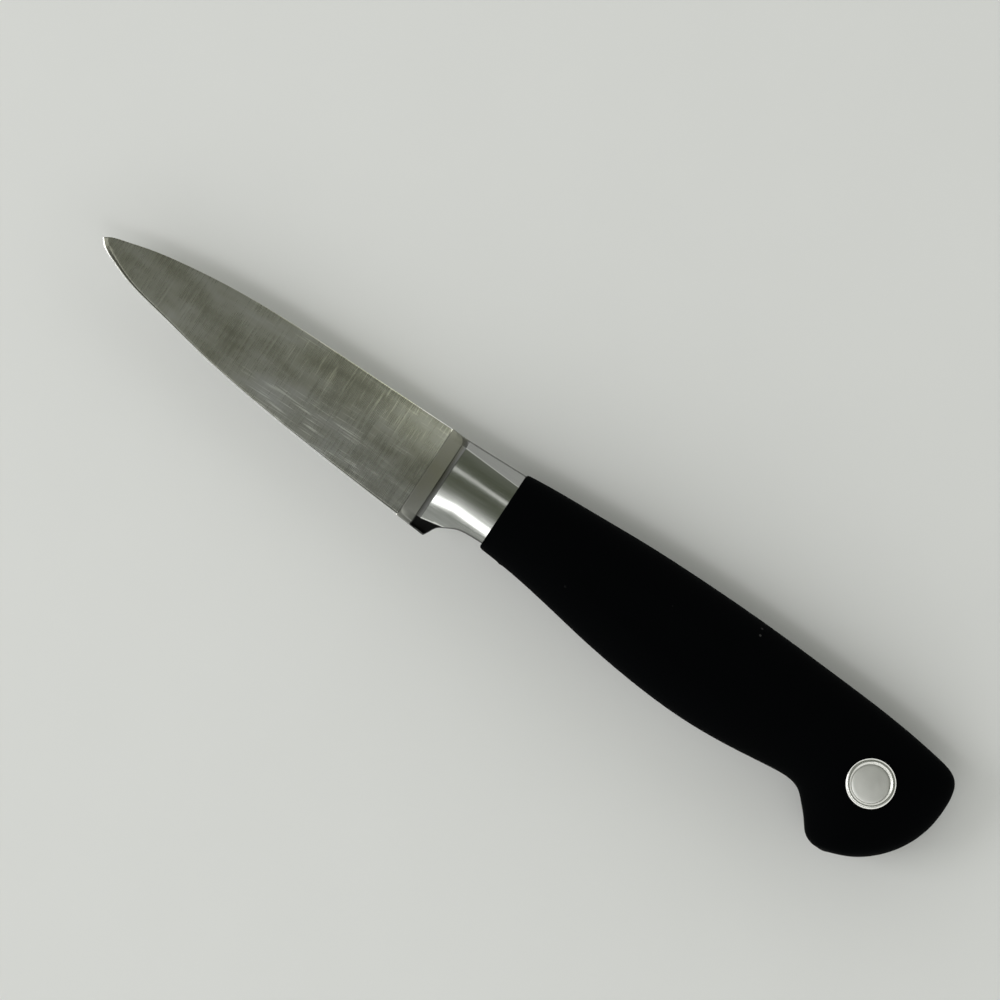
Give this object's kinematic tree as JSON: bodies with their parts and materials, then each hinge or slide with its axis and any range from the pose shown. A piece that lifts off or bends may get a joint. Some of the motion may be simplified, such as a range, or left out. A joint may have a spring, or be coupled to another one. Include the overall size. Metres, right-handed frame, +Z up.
{
  "type": "paring knife",
  "caption": "Forged paring knife lying on its side: taper-ground blade, full bolster with finger notch, hooked soft-grip handle with a plain metal medallion.",
  "frame": {"origin": "bottom centre of the knife's box as it lies on its side: z = 0 is the flat side of the handle", "axes": "+X from the tip to the butt, +Y from the cutting edge to the spine, +Z up out of the pictured side of the blade"},
  "size_m": [0.21, 0.033, 0.0172],
  "materials": {
    "forged_steel": "satin-ground blade with a polished bolster",
    "soft_grip": "matte black soft elastomer",
    "core_plastic": "plain dark moulded plastic",
    "rivet_steel": "plain turned steel",
    "medallion_steel": "polished, with a plain dished field"
  },
  "bodies": {
    "root": {"blade": "forged_steel", "soft_grip": "soft_grip", "core_scale_front": "core_plastic", "core_scale_back": "core_plastic", "rivet_sleeve": "rivet_steel", "rivet_post": "rivet_steel", "medallion_front": "medallion_steel", "medallion_back": "medallion_steel"}
  },
  "joints": []
}
